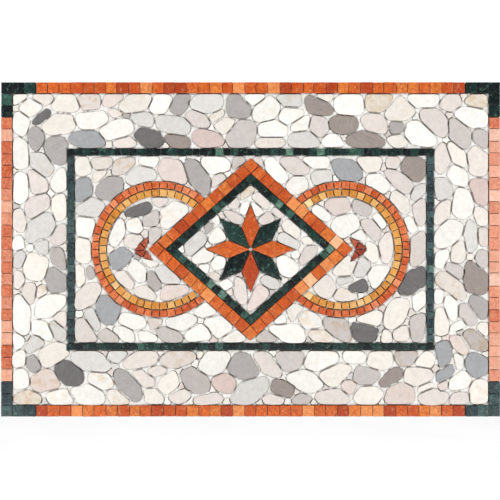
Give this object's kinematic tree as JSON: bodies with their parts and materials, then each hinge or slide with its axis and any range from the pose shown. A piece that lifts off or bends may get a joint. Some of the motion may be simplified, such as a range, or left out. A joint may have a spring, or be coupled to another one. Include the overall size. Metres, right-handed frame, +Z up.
{
  "type": "mosaic panel",
  "caption": "Upright rectangular stone mosaic panel: orange and green marble tile border and frame, a diamond with an eight-pointed star over two tile rings, and sawn flat pebbles between them.",
  "frame": {"origin": "middle of the flat back face, where the panel meets the wall or floor it is fixed to", "axes": "+Y into the wall, out of the back face; +X along the panel's width; +Z up its height"},
  "size_m": [1, 0.0102, 0.67],
  "materials": {
    "backing": "matte",
    "orange_marble": "satin",
    "green_marble": "satin",
    "yellow_marble": "satin",
    "brown_red_marble": "satin",
    "pebble": "matte"
  },
  "bodies": {
    "root": {"backing_mesh": "backing", "border_corner_bottom_left": "green_marble", "border_corner_bottom_right": "green_marble", "border_corner_top_left": "green_marble", "border_corner_top_right": "green_marble", "border_row_bottom": "orange_marble", "border_row_left": "orange_marble", "border_row_right": "orange_marble", "border_row_top": "orange_marble", "diamond_inner_row_lower_left": "green_marble", "diamond_inner_row_lower_right": "green_marble", "diamond_inner_row_upper_left": "green_marble", "diamond_inner_row_upper_right": "green_marble", "diamond_outer_row_lower_left": "orange_marble", "diamond_outer_row_lower_right": "orange_marble", "diamond_outer_row_upper_left": "orange_marble", "diamond_outer_row_upper_right": "orange_marble", "frame_row_bottom": "green_marble", "frame_row_left": "green_marble", "frame_row_right": "green_marble", "frame_row_top": "green_marble", "pebbles_band_bottom": "pebble", "pebbles_band_left": "pebble", "pebbles_band_right": "pebble", "pebbles_band_top": "pebble", "pebbles_corner_bottom_left": "pebble", "pebbles_corner_bottom_right": "pebble", "pebbles_corner_top_left": "pebble", "pebbles_corner_top_right": "pebble", "pebbles_ring_left": "pebble", "pebbles_ring_right": "pebble", "pebbles_star": "pebble", "ring_left_inner_row": "yellow_marble", "ring_left_outer_row": "orange_marble", "ring_right_inner_row": "yellow_marble", "ring_right_outer_row": "orange_marble", "shard_left_1": "brown_red_marble", "shard_left_2": "brown_red_marble", "shard_left_3": "brown_red_marble", "shard_left_4": "brown_red_marble", "shard_right_1": "brown_red_marble", "shard_right_2": "brown_red_marble", "shard_right_3": "brown_red_marble", "shard_right_4": "brown_red_marble", "star_petal_1": "orange_marble", "star_petal_2": "green_marble", "star_petal_3": "orange_marble", "star_petal_4": "green_marble", "star_petal_5": "orange_marble", "star_petal_6": "green_marble", "star_petal_7": "orange_marble", "star_petal_8": "green_marble"}
  },
  "joints": []
}
